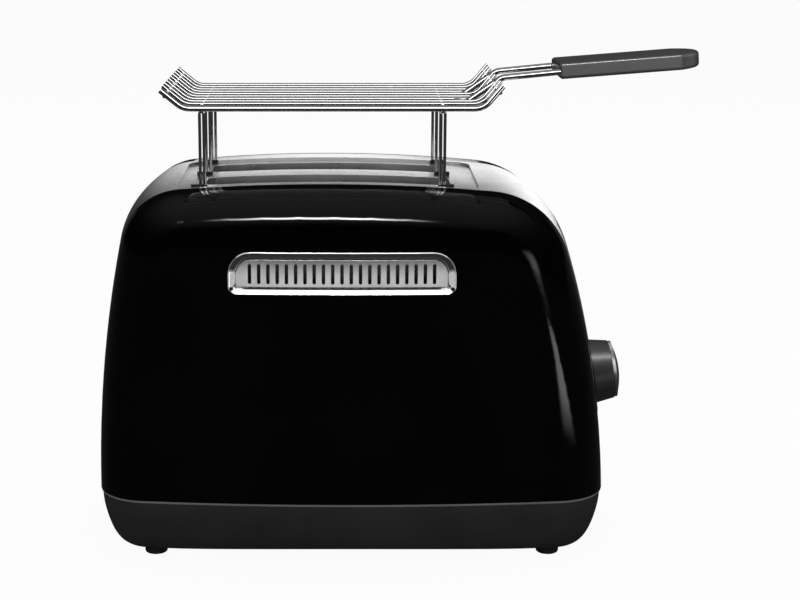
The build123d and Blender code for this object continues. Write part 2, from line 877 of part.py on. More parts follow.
with BuildPart() as latch_coil:
    with BuildSketch(Plane.XY.offset(coil_bottom)):
        with Locations((latch_x, latch_y)):
            RectangleRounded(latch_length, latch_width - 2 * core_leg - 0.6, 2)
            Rectangle(core_pole + 0.2, core_pole + 0.2, mode=Mode.SUBTRACT)
    extrude(amount=coil_top - coil_bottom)

latch_coil.part.label = "latch_coil"
export_step(latch_coil.part, "parts/latch_coil.step")

# Planes of the dial: across its axis, and along it for turned profiles
tilt = math.radians(dial_tilt)
dial_centre = (right_wall_x(dial_z), 0, dial_z)
dial_direction = (math.cos(tilt), 0, math.sin(tilt))
dial_plane = Plane(origin=dial_centre, x_dir=(0, 1, 0), z_dir=dial_direction)
dial_profile = Plane(origin=dial_centre, x_dir=(0, 1, 0), z_dir=(math.sin(tilt), 0, -math.cos(tilt)))
dial_axis = Axis(dial_centre, dial_direction)
board_face = board_thickness - board_depth

# Control panel: skin, flange behind the band, lever recess, posts for the board
with BuildPart() as panel_flange:
    add(body_form(band_wall, band_top_wall, seam_height - 1))
    with BuildSketch(Plane.YZ.offset(90)):
        with Locations((0, (panel_bottom + panel_top) / 2)):
            Rectangle(2 * (panel_half_width + flange_lap), panel_top - panel_bottom + flange_lap)
    extrude(amount=60, mode=Mode.INTERSECT)

with BuildPart() as panel_hollow:
    add(body_form(panel_wall, panel_wall + 1, seam_height - 2))
    with BuildSketch(Plane.YZ.offset(scoop_back_x - scoop_wall)):
        with Locations((0, (scoop_bottom + scoop_top) / 2)):
            Rectangle(2 * (scoop_half_width + scoop_wall), scoop_top - scoop_bottom + 2 * scoop_wall)
    extrude(amount=60, mode=Mode.SUBTRACT)
    with BuildSketch(dial_plane.offset(board_face)):
        for row in post_rows:
            with Locations((-post_x, row), (post_x, row)):
                Circle(post_radius)
    extrude(amount=60, mode=Mode.SUBTRACT)

with BuildPart() as control_panel:
    add(body_form(-panel_proud, 0, seam_height))
    with BuildSketch(Plane.YZ.offset(90)):
        with Locations((0, (panel_bottom + panel_top) / 2)):
            Rectangle(2 * (panel_half_width - panel_gap), panel_top - panel_bottom - 2 * panel_gap)
    extrude(amount=60, mode=Mode.INTERSECT)
    add(panel_flange.part)
    add(panel_hollow.part, mode=Mode.SUBTRACT)
    with BuildSketch(Plane.YZ.offset(scoop_back_x)):
        with Locations((0, (scoop_bottom + scoop_top) / 2)):
            RectangleRounded(2 * scoop_half_width, scoop_top - scoop_bottom, 4)
    extrude(amount=60, mode=Mode.SUBTRACT)
    with BuildSketch(Plane.YZ.offset(90)):
        with Locations((0, (arm_bottom - lift_travel + arm_top) / 2)):
            Rectangle(
                2 * (arm_half_width + arm_slot_clearance),
                arm_top - arm_bottom + lift_travel + 2 * arm_slot_clearance,
            )
        with Locations((0, 45)):
            Rectangle(80, 40, mode=Mode.SUBTRACT)
    extrude(amount=scoop_back_x - 88, mode=Mode.SUBTRACT)
    with BuildSketch(dial_plane.offset(-10)):
        Circle(shaft_radius + rod_running_fit)
        for row in button_rows:
            with Locations((-button_y, row), (button_y, row)):
                Circle(button_radius + button_gap)
        with Locations((-button_y, lens_row), (button_y, lens_row)):
            Circle(lens_radius)
    extrude(amount=20, mode=Mode.SUBTRACT)

control_panel.part.label = "control_panel"
export_step(control_panel.part, "parts/control_panel.step")

# Dial knob: tapered hollow skirt with a hub on the shaft
with BuildPart() as dial_knob:
    with BuildSketch(dial_profile):
        with BuildLine():
            Polyline(
                (shaft_radius, skirt_end),
                (shaft_radius, 3.2),
                (hub_radius, 3.2),
                (hub_radius, skirt_end - knob_wall),
                (skirt_end_radius - knob_wall, skirt_end - knob_wall),
                (skirt_radius - knob_wall, skirt_start),
                (skirt_radius, skirt_start),
                (skirt_end_radius, skirt_end),
                (shaft_radius, skirt_end),
            )
        make_face()
    revolve(axis=dial_axis)

dial_knob.part.label = "dial_knob"
export_step(dial_knob.part, "parts/dial_knob.step")

# Dial cap: a bright ring and a shallow brushed dome with a pointer groove
with BuildPart() as dial_cap:
    with BuildSketch(dial_profile):
        with BuildLine():
            Polyline(
                (0, dome_top),
                (0, skirt_end),
                (cap_neck_radius, skirt_end),
                (cap_neck_radius, cap_start),
                (cap_radius, cap_start),
                (cap_radius, cap_ring_end),
                (dome_radius, cap_ring_end),
            )
            ThreePointArc(
                (dome_radius, cap_ring_end),
                (dome_radius * 0.5, cap_ring_end + (dome_top - cap_ring_end) * 0.76),
                (0, dome_top),
            )
        make_face()
    revolve(axis=dial_axis)
    with BuildSketch(dial_plane.offset(cap_ring_end)):
        with Locations((0, dome_radius * 0.78)):
            Rectangle(1.3, 5.0)
    extrude(amount=10, mode=Mode.SUBTRACT)

dial_cap.part.label = "dial_cap"
export_step(dial_cap.part, "parts/dial_cap.step")

# Dial shaft, from the potentiometer through the panel to the knob
with BuildPart() as dial_shaft:
    with BuildSketch(dial_plane.offset(board_face + 3)):
        Circle(shaft_radius)
    extrude(amount=skirt_end - board_face - 3)

dial_shaft.part.label = "dial_shaft"
export_step(dial_shaft.part, "parts/dial_shaft.step")

# Potentiometer on the control board
with BuildPart() as dial_potentiometer:
    with BuildSketch(dial_plane.offset(board_face)):
        Circle(pot_radius)
    extrude(amount=pot_height)
    with BuildSketch(dial_plane.offset(board_face + 2.7)):
        Circle(shaft_radius + rod_running_fit)
    extrude(amount=pot_height, mode=Mode.SUBTRACT)

dial_potentiometer.part.label = "dial_potentiometer"
export_step(dial_potentiometer.part, "parts/dial_potentiometer.step")

# Control board with its four push switches
with BuildPart() as control_board:
    with BuildSketch(dial_plane.offset(-board_depth)):
        with Locations((0, -board_drop)):
            Rectangle(board_width, board_height)
    extrude(amount=board_thickness)
    with BuildSketch(dial_plane.offset(board_face)):
        for row in button_rows:
            with Locations((-button_y, row), (button_y, row)):
                Rectangle(switch_size, switch_size)
    extrude(amount=switch_top - board_face)

control_board.part.label = "control_board"
export_step(control_board.part, "parts/control_board.step")

# Push buttons with a retaining flange and a stem down to the switch
for name, y, row in (
    ("cancel", -button_y, button_rows[0]),
    ("reheat", -button_y, button_rows[1]),
    ("defrost", button_y, button_rows[1]),
    ("bagel", button_y, button_rows[0]),
):
    with BuildPart() as button:
        with BuildSketch(dial_plane.offset(button_face)):
            with Locations((y, row)):
                Circle(button_radius)
        extrude(amount=-button_thickness - 1.2)
        with BuildSketch(dial_plane.offset(button_face - button_thickness - 1.2)):
            with Locations((y, row)):
                Circle(button_flange_radius)
        extrude(amount=-1.0)
        with BuildSketch(dial_plane.offset(button_stem_end)):
            with Locations((y, row)):
                Circle(button_stem_radius)
        extrude(amount=button_face - button_thickness - 2.0 - button_stem_end)
    button.part.label = name + "_button"
    export_step(button.part, "parts/" + name + "_button.step")

# Indicator lenses between the buttons
with BuildPart() as indicator_lenses:
    with BuildSketch(dial_plane.offset(button_face)):
        with Locations((-button_y, lens_row), (button_y, lens_row)):
            Circle(lens_radius)
    extrude(amount=-6)

indicator_lenses.part.label = "indicator_lenses"
export_step(indicator_lenses.part, "parts/indicator_lenses.step")

# Crumb tray, an open sheet pan
with BuildPart() as crumb_tray:
    with BuildSketch(Plane.XY.offset(tray_bottom)):
        with Locations((tray_centre_x, tray_front)):
            Rectangle(tray_length, tray_rear - tray_front, align=(Align.CENTER, Align.MIN))
    extrude(amount=tray_top - tray_bottom)
    with BuildSketch(Plane.XY.offset(tray_bottom + tray_sheet)):
        with Locations((tray_centre_x, tray_front + tray_sheet)):
            Rectangle(
                tray_length - 2 * tray_sheet,
                tray_rear - tray_front - 2 * tray_sheet,
                align=(Align.CENTER, Align.MIN),
            )
    extrude(amount=tray_top - tray_bottom, mode=Mode.SUBTRACT)

crumb_tray.part.label = "crumb_tray"
export_step(crumb_tray.part, "parts/crumb_tray.step")

# Pull of the crumb tray, flush with the rear of the base, with a finger groove below
with BuildPart() as tray_pull:
    add(tub_outside)
    with BuildSketch(Plane.XZ.offset(-tray_rear)):
        with Locations((tray_centre_x, (pull_bottom + pull_top) / 2)):
            Rectangle(2 * pull_half_width, pull_top - pull_bottom)
    extrude(amount=-20, mode=Mode.INTERSECT)
    with BuildSketch(Plane.XY.offset(pull_bottom)):
        with Locations((tray_centre_x, tray_rear + groove_inset)):
            Rectangle(groove_width, groove_depth)
    extrude(amount=groove_height, mode=Mode.SUBTRACT)

tray_pull.part.label = "tray_pull"
export_step(tray_pull.part, "parts/tray_pull.step")

# Rails under both sides of the tray
rail_left_x = tray_centre_x - tray_length / 2 - rail_gap - rail_wall
rail_right_x = tray_centre_x + tray_length / 2 + rail_gap
with BuildPart() as tray_rails:
    with BuildSketch(Plane.XY.offset(tub_floor_top)):
        with Locations((rail_left_x, rail_front), (rail_right_x, rail_front)):
            Rectangle(rail_wall, rail_rear - rail_front, align=(Align.MIN, Align.MIN))
    extrude(amount=rail_top - tub_floor_top)
    with BuildSketch(Plane.XY.offset(tray_bottom - rail_ledge_gap - rail_ledge)):
        with Locations((rail_left_x, rail_front), (rail_right_x - rail_reach, rail_front)):
            Rectangle(rail_wall + rail_reach, rail_rear - rail_front, align=(Align.MIN, Align.MIN))
    extrude(amount=rail_ledge)

tray_rails.part.label = "tray_rails"
export_step(tray_rails.part, "parts/tray_rails.step")

# Bushing where the supply cord enters at the rear
with BuildPart() as cord_bushing:
    with BuildSketch(Plane.XZ.offset(-cord_outer_y)):
        with Locations((cord_x, cord_z)):
            Circle(cord_hole_radius)
    extrude(amount=cord_outer_y - cord_inner_y)
    with BuildSketch(Plane.XZ.offset(-cord_outer_y)):
        with Locations((cord_x, cord_z)):
            Circle(cord_flange_radius)
    extrude(amount=cord_flange)
    with BuildSketch(Plane.XZ.offset(-cord_inner_y - cord_flange)):
        with Locations((cord_x, cord_z)):
            Circle(cord_flange_radius)
    extrude(amount=cord_flange)
    with BuildSketch(Plane.XZ.offset(-cord_outer_y)):
        with Locations((cord_x, cord_z)):
            Circle(cord_bore_radius)
    extrude(amount=cord_outer_y - cord_inner_y, mode=Mode.SUBTRACT)

cord_bushing.part.label = "cord_bushing"
export_step(cord_bushing.part, "parts/cord_bushing.step")


def bent_wire(points, bend, radius):
    """Round wire along straight runs with rounded bends, in the plane through the middle of the rack."""
    with BuildPart() as wire:
        with BuildLine(Plane.XZ) as path:
            FilletPolyline(*points, radius=bend)
        with BuildSketch(Plane(origin=path.line @ 0, z_dir=path.line % 0)):
            Circle(radius)
        sweep()
    return wire.part


# Handle wires from under the grid into the grip
handle_wire = bent_wire(handle_path, handle_bend, handle_wire_radius)
with BuildPart() as rack_handle_wires:
    with Locations((0, -handle_wire_y, 0), (0, handle_wire_y, 0)):
        add(handle_wire)

rack_handle_wires.part.label = "rack_handle_wires"
export_step(rack_handle_wires.part, "parts/rack_handle_wires.step")

# Grid of the warming rack: thin bars, a thicker front bar and cross wires, welded together
full_bar = bent_wire(
    (left_tip, (left_bend_x, bar_z), (right_bend_x, bar_z), right_tip), bend_radius, bar_radius
)
short_bar = bent_wire((left_tip, (left_bend_x, bar_z), (short_bar_end, bar_z)), bend_radius, bar_radius)
bar_drop = bar_z - front_bar_z
front_bar = bent_wire(
    (
        (left_tip[0], left_tip[1] - bar_drop),
        (left_bend_x, front_bar_z),
        (right_bend_x, front_bar_z),
        (right_tip[0], right_tip[1] - bar_drop),
    ),
    bend_radius,
    front_bar_radius,
)
cross_drop = bar_radius + cross_wire_radius - cross_sink


def under_tip(tip, bend):
    """Centre of the cross wire below the sloping ends of the bars, which run from bend up to tip."""
    length = math.hypot(bend[0] - tip[0], bend[1] - tip[1])
    along_x = (bend[0] - tip[0]) / length
    along_z = (bend[1] - tip[1]) / length
    side = math.copysign(1, along_x)
    return (
        tip[0] + along_x * cross_reach + side * along_z * cross_drop,
        tip[1] + along_z * cross_reach - side * along_x * cross_drop,
    )


with BuildPart() as rack_grid:
    for index in range(bar_count):
        y = rear_bar_y - bar_pitch * index
        with Locations((0, y, 0)):
            add(short_bar if bar_count - 1 - index in short_bars else full_bar)
    with Locations((0, front_bar_y, 0)):
        add(front_bar)
    with BuildSketch(Plane.XZ.offset(-rear_bar_y)):
        with Locations(
            under_tip(left_tip, (left_bend_x, bar_z)),
            under_tip(right_tip, (right_bend_x, bar_z)),
            (leg_columns[0], bar_z - cross_drop),
            (leg_columns[1], bar_z - cross_drop),
        ):
            Circle(cross_wire_radius)
    extrude(amount=rear_bar_y - front_bar_y)
    add(rack_handle_wires.part, mode=Mode.SUBTRACT)

rack_grid.part.label = "rack_grid"
export_step(rack_grid.part, "parts/rack_grid.step")

# Legs of the rack: hairpins of wire, each welded by its round top under a cross wire
weld_top = bar_z - cross_drop - cross_wire_radius
loop_radius = leg_wire_spacing / 2
loop_z = weld_top - leg_wire_radius - loop_radius
with BuildPart() as hairpin:
    with BuildLine(Plane.XZ) as pin_path:
        Line((-loop_radius, foot_top), (-loop_radius, loop_z))
        ThreePointArc((-loop_radius, loop_z), (0, loop_z + loop_radius), (loop_radius, loop_z))
        Line((loop_radius, loop_z), (loop_radius, foot_top))
    with BuildSketch(Plane.XY.offset(foot_top)):
        with Locations((-loop_radius, 0)):
            Circle(leg_wire_radius)
    sweep(path=pin_path.line)
    with BuildSketch(Plane.XY.offset(weld_top - weld_height)):
        Circle(weld_radius)
    extrude(amount=weld_height)

with BuildPart() as rack_legs:
    for x in leg_columns:
        for y in leg_rows:
            with Locations((x, y, 0)):
                add(hairpin.part)

rack_legs.part.label = "rack_legs"
export_step(rack_legs.part, "parts/rack_legs.step")

# Low heat-proof feet under the legs, longer on their outer side and shaped to the deck they stand on
with BuildPart() as rack_feet:
    for x, side in zip(leg_columns, (-1, 1)):
        for y in leg_rows:
            with BuildSketch(Plane.XY.offset(foot_top - 4)):
                with Locations((x + side * rack_foot_shift, y)):
                    SlotOverall(rack_foot_length, rack_foot_width)
            extrude(amount=4)
    add(body_form(0, recess_depth, seam_height), mode=Mode.SUBTRACT)

rack_feet.part.label = "rack_feet"
export_step(rack_feet.part, "parts/rack_feet.step")

# Grip: a flat bar of plastic, rounded at its free end, moulded over the wires
grip_tilt = math.radians(grip_slope)
grip_plane = Plane(
    origin=(grip_start_x, 0, grip_top_z - grip_thickness),
    x_dir=(math.cos(grip_tilt), 0, math.sin(grip_tilt)),
    z_dir=(-math.sin(grip_tilt), 0, math.cos(grip_tilt)),
)
grip_length = (grip_end_x - grip_start_x) / math.cos(grip_tilt)
grip_straight = (grip_round_x - grip_start_x) / math.cos(grip_tilt)
with BuildPart() as rack_grip:
    with BuildSketch(grip_plane):
        with BuildLine():
            Line((0, -grip_half_width), (grip_straight, -grip_half_width))
            ThreePointArc(
                (grip_straight, -grip_half_width), (grip_length, 0), (grip_straight, grip_half_width)
            )
            Line((grip_straight, grip_half_width), (0, grip_half_width))
            Line((0, grip_half_width), (0, -grip_half_width))
        make_face()
    extrude(amount=grip_thickness)
    fillet(rack_grip.edges(), radius=grip_edge)
    add(rack_handle_wires.part, mode=Mode.SUBTRACT)

rack_grip.part.label = "rack_grip"
export_step(rack_grip.part, "parts/rack_grip.step")
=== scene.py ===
import json
import math

import bmesh
import bpy
import numpy as np
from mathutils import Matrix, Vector

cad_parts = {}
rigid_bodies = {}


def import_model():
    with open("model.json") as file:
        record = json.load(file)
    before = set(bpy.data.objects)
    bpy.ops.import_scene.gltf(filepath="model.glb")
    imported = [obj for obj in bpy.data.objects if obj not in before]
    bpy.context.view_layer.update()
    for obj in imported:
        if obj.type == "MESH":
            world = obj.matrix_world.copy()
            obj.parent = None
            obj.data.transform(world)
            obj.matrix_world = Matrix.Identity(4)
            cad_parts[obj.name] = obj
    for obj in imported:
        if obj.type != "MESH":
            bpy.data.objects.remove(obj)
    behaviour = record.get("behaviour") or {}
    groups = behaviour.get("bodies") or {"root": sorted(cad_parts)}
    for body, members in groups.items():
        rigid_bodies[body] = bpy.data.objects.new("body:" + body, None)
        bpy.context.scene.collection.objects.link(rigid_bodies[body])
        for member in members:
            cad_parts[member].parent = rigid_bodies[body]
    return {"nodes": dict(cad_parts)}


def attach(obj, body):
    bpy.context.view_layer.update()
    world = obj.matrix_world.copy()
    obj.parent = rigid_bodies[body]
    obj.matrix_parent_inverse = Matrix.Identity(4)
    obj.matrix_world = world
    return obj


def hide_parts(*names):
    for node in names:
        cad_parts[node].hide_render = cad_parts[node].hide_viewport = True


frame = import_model()
nodes = frame["nodes"]
for stray in [o for o in bpy.context.scene.objects if o.name in ("Cube", "Light", "Camera")]:
    bpy.data.objects.remove(stray)
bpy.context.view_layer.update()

# Camera. It stands 0.96 m in front of the middle of the toaster, a little above the rack, looks down by 13
# degrees and is shifted sideways, so that the grip of the rack stays in the picture.
look_down = 13
camera_data = bpy.data.cameras.new("camera")
camera_data.lens = 80.46
camera_data.shift_x = 0.0725
camera = bpy.data.objects.new("camera", camera_data)
camera.location = (-0.0052, -0.963, 0.3465)
camera.rotation_euler = (math.radians(90 - look_down), 0, 0)
bpy.context.scene.collection.objects.link(camera)
bpy.context.scene.camera = camera
bpy.context.scene.view_settings.view_transform = "Standard"


# Base tub with the pull of its crumb tray and the tray's rails. Injection moulded in charcoal
# polypropylene with a fine spark-eroded grain; a rounded lip, painted light grey as a highlight, runs round
# the tub under the body.
class Wire:
    """An output of a shader node. Arithmetic on it adds Math nodes, so a mask is written as an
    expression."""

    def __init__(self, graph, socket):
        self.graph = graph
        self.socket = socket

    def math(self, operation, *values):
        return self.graph.node("ShaderNodeMath", {"operation": operation}, dict(enumerate(values)))

    def __abs__(self):
        return self.math("ABSOLUTE", self)

    def root(self):
        return self.math("SQRT", self)

    def __add__(self, other):
        return self.math("ADD", self, other)

    def __radd__(self, other):
        return self.math("ADD", other, self)

    def __sub__(self, other):
        return self.math("SUBTRACT", self, other)

    def __rsub__(self, other):
        return self.math("SUBTRACT", other, self)

    def __mul__(self, other):
        return self.math("MULTIPLY", self, other)

    def __rmul__(self, other):
        return self.math("MULTIPLY", other, self)

    def ramp(self, low, high, start=0.0, end=1.0):
        """Smooth step from start, at low and below, to end, at high and above."""
        sockets = {"Value": self, "From Min": low, "From Max": high, "To Min": start, "To Max": end}
        return self.graph.node("ShaderNodeMapRange", {"interpolation_type": "SMOOTHSTEP"}, sockets)


class Graph:
    """The nodes of a material, a lamp or the world."""

    def __init__(self, owner):
        owner.use_nodes = True
        self.tree = owner.node_tree

    def node(self, kind, settings=None, sockets=None, output=0):
        """Adds a node, sets its settings first, and then gives its sockets their values or links."""
        made = self.tree.nodes.new(kind)
        for name, value in (settings or {}).items():
            setattr(made, name, value)
        for key, value in (sockets or {}).items():
            self.feed(made.inputs[key], value)
        return Wire(self, made.outputs[output])

    def feed(self, socket, value):
        if isinstance(value, Wire):
            self.tree.links.new(value.socket, socket)
        else:
            socket.default_value = value

    def place(self, stretch=(1, 1, 1), at=(0, 0, 0)):
        """Object coordinates in metres, moved by at and then multiplied by stretch."""
        spot = self.node("ShaderNodeTexCoord", output="Object")
        moved = self.node("ShaderNodeVectorMath", {"operation": "SUBTRACT"}, {0: spot, 1: at})
        return self.node("ShaderNodeVectorMath", {"operation": "MULTIPLY"}, {0: moved, 1: stretch})

    def axis(self, vector, letter):
        """The X, Y or Z of a vector."""
        return self.node("ShaderNodeSeparateXYZ", None, {"Vector": vector}, output=letter)

    def noise(self, size, stretch=(1, 1, 1), detail=2.0):
        """Cloudy noise with spots of the given size in metres, finer along an axis that is stretched."""
        sockets = {"Vector": self.place(stretch), "Scale": 1 / size, "Detail": detail}
        return self.node("ShaderNodeTexNoise", None, sockets)

    def cells(self, per_metre, stretch=(1, 1, 1)):
        """Uneven cells, so many to a metre, each with a value of its own."""
        sockets = {"Vector": self.place(stretch), "Scale": per_metre}
        colours = self.node("ShaderNodeTexVoronoi", None, sockets, output="Color")
        return self.node("ShaderNodeSeparateColor", None, {"Color": colours})

    def bands(self, letter, scale, wobble):
        """Soft waves that follow one another along the axis."""
        sockets = {"Vector": self.place(), "Scale": scale, "Distortion": wobble}
        return self.node("ShaderNodeTexWave", {"bands_direction": letter}, sockets)

    def blend(self, factor, first, second):
        """Colour between first and second."""
        colours = {0: factor, 6: first, 7: second}
        return self.node("ShaderNodeMix", {"data_type": "RGBA"}, colours, output=2)


class Finish(Graph):
    """A material with one Principled shader."""

    def __init__(self, name):
        self.material = bpy.data.materials.new(name)
        super().__init__(self.material)
        self.shader = self.tree.nodes["Principled BSDF"]

    def surface(self, **values):
        """Fills the shader's sockets; Base_Color stands for Base Color."""
        for name, value in values.items():
            self.feed(self.shader.inputs[name.replace("_", " ")], value)
        return self

    def relief(self, height, depth):
        """Bumps for the Normal socket, as deep in metres as depth times the height."""
        return self.node("ShaderNodeBump", None, {"Strength": 1.0, "Distance": depth, "Height": height})

    def on(self, *names):
        """Puts the finish on CAD nodes."""
        for name in names:
            nodes[name].material_slots[0].material = self.material


def moulded(name, colour, worn, roughness, grain, depth):
    """Moulded plastic: grain as fine noise in the bump, clouds of slightly worn colour, and smoother rubbed
    patches. The grain's size and its depth are in metres."""
    plastic = Finish(name)
    pits = plastic.noise(grain, detail=3.0)
    clouds = plastic.noise(0.03, detail=4.0)
    rubbed = plastic.noise(0.012, stretch=(1, 1, 2), detail=5.0).ramp(0.52, 0.68)
    speckle = plastic.noise(grain * 2, detail=1.0).ramp(0.35, 0.7)
    plastic.surface(
        Base_Color=plastic.blend(clouds.ramp(0.3, 0.75) * 0.6 + speckle * 0.4, (*colour, 1), (*worn, 1)),
        Roughness=roughness + pits * 0.1 - rubbed * 0.08,
        Normal=plastic.relief(pits, depth),
    )
    return plastic


tub_plastic = moulded(
    "charcoal_grain", colour=(0.012, 0.0123, 0.013), worn=(0.020, 0.0204, 0.021),
    roughness=0.46, grain=0.0003, depth=0.00002,
)
tub_plastic.on("base_tub", "tray_pull", "tray_rails")

# Plan of the body where it meets the tub, in metres. Its walls and its corners are arcs.
front_radius = 0.965
end_radius = 0.45
half_depth = 0.089
left_end = -0.137
right_end = 0.1364
corner_radius = 0.028
seam_height = 0.0363


def body_outline():
    """Points and outward directions round the body at the seam: a point is its arc's centre plus the arc's
    radius times the direction. The centre of a corner lies where the front's arc and the end's arc, both
    drawn smaller by the corner's radius, cross."""
    front = np.array([0, front_radius - half_depth])
    arcs = []
    for end, side in ((right_end, 1), (left_end, -1)):
        wall = np.array([end - side * end_radius, 0])
        apart = wall - front
        gap = np.hypot(*apart)
        front_inner = front_radius - corner_radius
        end_inner = end_radius - corner_radius
        along = (front_inner ** 2 - end_inner ** 2 + gap ** 2) / (2 * gap)
        across = math.sqrt(front_inner ** 2 - along ** 2)
        unit = apart / gap
        corner = front + along * unit + side * across * np.array([-unit[1], unit[0]])
        front_turn = math.atan2(corner[1] - front[1], corner[0])
        end_turn = math.atan2(corner[1], corner[0] - wall[0])
        arcs.append((wall, corner, front_turn, end_turn))
    right_wall, right_corner, right_front, right_turn = arcs[0]
    left_wall, left_corner, left_front, left_turn = arcs[1]
    left_turn = left_turn if left_turn < 0 else left_turn - 2 * math.pi
    mirror = np.array([1, -1])
    spans = [
        (front, front_radius, left_front, right_front, 60),
        (right_corner, corner_radius, right_front, right_turn, 14),
        (right_wall, end_radius, right_turn, -right_turn, 50),
        (right_corner * mirror, corner_radius, -right_turn, -right_front, 14),
        (front * mirror, front_radius, -right_front, -left_front, 60),
        (left_corner * mirror, corner_radius, -left_front, -left_turn, 14),
        (left_wall, end_radius, -left_turn, left_turn + 2 * math.pi, 50),
        (left_corner, corner_radius, left_turn, left_front, 14),
    ]
    points = []
    directions = []
    for centre, radius, start, end, count in spans:
        turn = np.linspace(start, end, count, endpoint=False)
        direction = np.stack([np.cos(turn), np.sin(turn)], axis=1)
        points.append(centre + radius * direction)
        directions.append(direction)
    return np.concatenate(points), np.concatenate(directions)


def hoop(name, grid):
    """Object over a grid of points, with a row for each point of a closed profile and a column for each point
    of the closed path that carries it: neighbours make a face, the last row and column join the first, and
    edges sharper than 35 degrees stay sharp."""
    rows, columns = grid.shape[:2]
    index = np.arange(rows * columns).reshape(rows, columns)
    index = np.vstack([index, index[:1]])
    index = np.hstack([index, index[:, :1]])
    faces = np.stack([index[:-1, :-1], index[1:, :-1], index[1:, 1:], index[:-1, 1:]], axis=-1)
    mesh = bpy.data.meshes.new(name)
    mesh.from_pydata(grid.reshape(-1, 3).tolist(), [], faces.reshape(-1, 4).tolist())
    form = bmesh.new()
    form.from_mesh(mesh)
    bmesh.ops.remove_doubles(form, verts=form.verts, dist=1e-7)
    bmesh.ops.recalc_face_normals(form, faces=form.faces)
    form.to_mesh(mesh)
    form.free()
    mesh.shade_smooth()
    mesh.set_sharp_from_angle(angle=math.radians(35))
    made = bpy.data.objects.new(name, mesh)
    bpy.context.scene.collection.objects.link(made)
    return made


# Profile of the lip, in millimetres outwards from the plan and upwards from the seam
lip_profile = np.array(
    [
        (-2.6, -1.6), (-1.0, -1.6), (-0.55, -1.35), (-0.28, -1.0), (-0.2, -0.6), (-0.3, -0.3),
        (-0.55, -0.12), (-2.6, -0.12),
    ]
) / 1000
outline, outward = body_outline()
lip_plan = outline[None] + lip_profile[:, :1, None] * outward[None]
lip_height = np.broadcast_to(seam_height + lip_profile[:, 1:, None], (*lip_plan.shape[:2], 1))
base_lip = hoop("base_lip", np.concatenate([lip_plan, lip_height], axis=2))
# The lip's light grey, far lighter than the tub's charcoal, is a painted highlight: it stands for the bright
# line of light along the seam.
lip_plastic_painted_highlight = moulded(
    "grey_lip_painted_highlight", colour=(0.11, 0.111, 0.115), worn=(0.14, 0.141, 0.145),
    roughness=0.3, grain=0.0004, depth=0.000008,
)
base_lip.data.materials.append(lip_plastic_painted_highlight.material)
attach(base_lip, "housing")

# Rubber feet of the tub and heat-proof feet of the rack, and the bushing round the cord entry.
# Pressed synthetic rubber, dull, with a little dust in its pores.
foot_rubber = Finish("dusty_rubber")
pores = foot_rubber.noise(0.0004, detail=3.0)
dust = foot_rubber.noise(0.004, detail=6.0).ramp(0.55, 0.75)
foot_rubber.surface(
    Base_Color=foot_rubber.blend(dust, (0.008, 0.008, 0.008, 1), (0.03, 0.029, 0.027, 1)),
    Roughness=0.68 + pores * 0.2,
    Normal=foot_rubber.relief(pores, 0.00004),
)
foot_rubber.on("rubber_feet", "rack_feet", "cord_bushing")

# Sheet metal of the chassis: floor, end plates, reflectors, lifters, bracket, lever arm, crumb tray and
# screws. Zinc-plated steel that shows the crystals of the plating and rolling marks, browned near the
# heaters.
zinc = Finish("zinc_spangle")
crystal = zinc.cells(260.0)
rolling = zinc.noise(0.0006, stretch=(0.02, 1, 1), detail=3.0)
heat = zinc.noise(0.02, detail=4.0).ramp(0.5, 0.8)
zinc.surface(
    Base_Color=zinc.blend(heat, (0.50, 0.51, 0.53, 1), (0.42, 0.38, 0.33, 1)),
    Metallic=1.0,
    Roughness=0.3 + crystal * 0.16 + rolling * 0.08,
    Normal=zinc.relief(crystal * 0.5 + rolling, 0.00001),
)
zinc.on(
    "base_screws", "chassis_floor", "end_plate_left", "end_plate_right", "reflector_front", "reflector_rear",
    "bread_lifter_front", "bread_lifter_rear", "carriage_bracket", "lever_arm", "crumb_tray",
)

# Front and rear shells. Pressed steel in black vitreous enamel, fired to a deep gloss with a faint
# waviness, a trace of dust and hairline wipe marks.
enamel = Finish("black_enamel_gloss")
waves = enamel.noise(0.006, detail=1.0)
wipes = enamel.noise(0.0008, stretch=(0.05, 0.05, 1), detail=4.0)
haze = enamel.noise(0.05, detail=4.0).ramp(0.4, 0.8)
enamel.surface(
    Base_Color=enamel.blend(haze, (0.0006, 0.0006, 0.0007, 1), (0.0011, 0.0011, 0.0012, 1)),
    Roughness=0.045 + wipes * 0.03 + haze * 0.02,
    Specular_IOR_Level=0.32,
    Normal=enamel.relief(waves, 0.0000025),
)
enamel.on("front_shell", "rear_shell")

# Band over the top and ends. One sheet of stainless steel, brushed lengthways, pressed down round the
# bread slots, with its edges turned under the shells.
band_steel = Finish("brushed_lengthways")
lines = band_steel.noise(0.00016, stretch=(0.006, 1, 0.006), detail=3.0)
streaks = band_steel.noise(0.0022, stretch=(0.02, 1, 0.02), detail=3.0)
smudges = band_steel.noise(0.025, detail=5.0).ramp(0.45, 0.8)
across = band_steel.axis(band_steel.place(), "Y")
along = band_steel.axis(band_steel.place(), "X")
# Pressing leaves the deck slightly crowned from front to rear and the right end slightly hollow. The crown is
# full up to 60 mm from the deck's middle and gone at 110 mm; the hollow sets in 75 mm right of the origin.
deck_middle = -0.0125
deck_crown = abs(along - deck_middle).ramp(0.06, 0.11, 1.0, 0.0)
end_hollow = along.ramp(0.075, 0.11) * 0.4
pressed = across * across * (end_hollow - deck_crown)
band_steel.surface(
    Base_Color=band_steel.blend(
        streaks.ramp(0.3, 0.7) * 0.6 + smudges * 0.2, (0.56, 0.56, 0.57, 1), (0.68, 0.68, 0.685, 1)
    ),
    Metallic=1.0,
    Roughness=0.2 + lines * 0.16 + smudges * 0.05,
    Normal=band_steel.relief(lines * 0.000035 + pressed, 1.0),
)
band_steel.on("steel_band")

# Vent bezels in the shells. Die-cast and chromed: a rolled rim on the enamel, then a dished slope down
# to the grille, and a collar through the shell that its clips hold.
upper_excess = 0.18
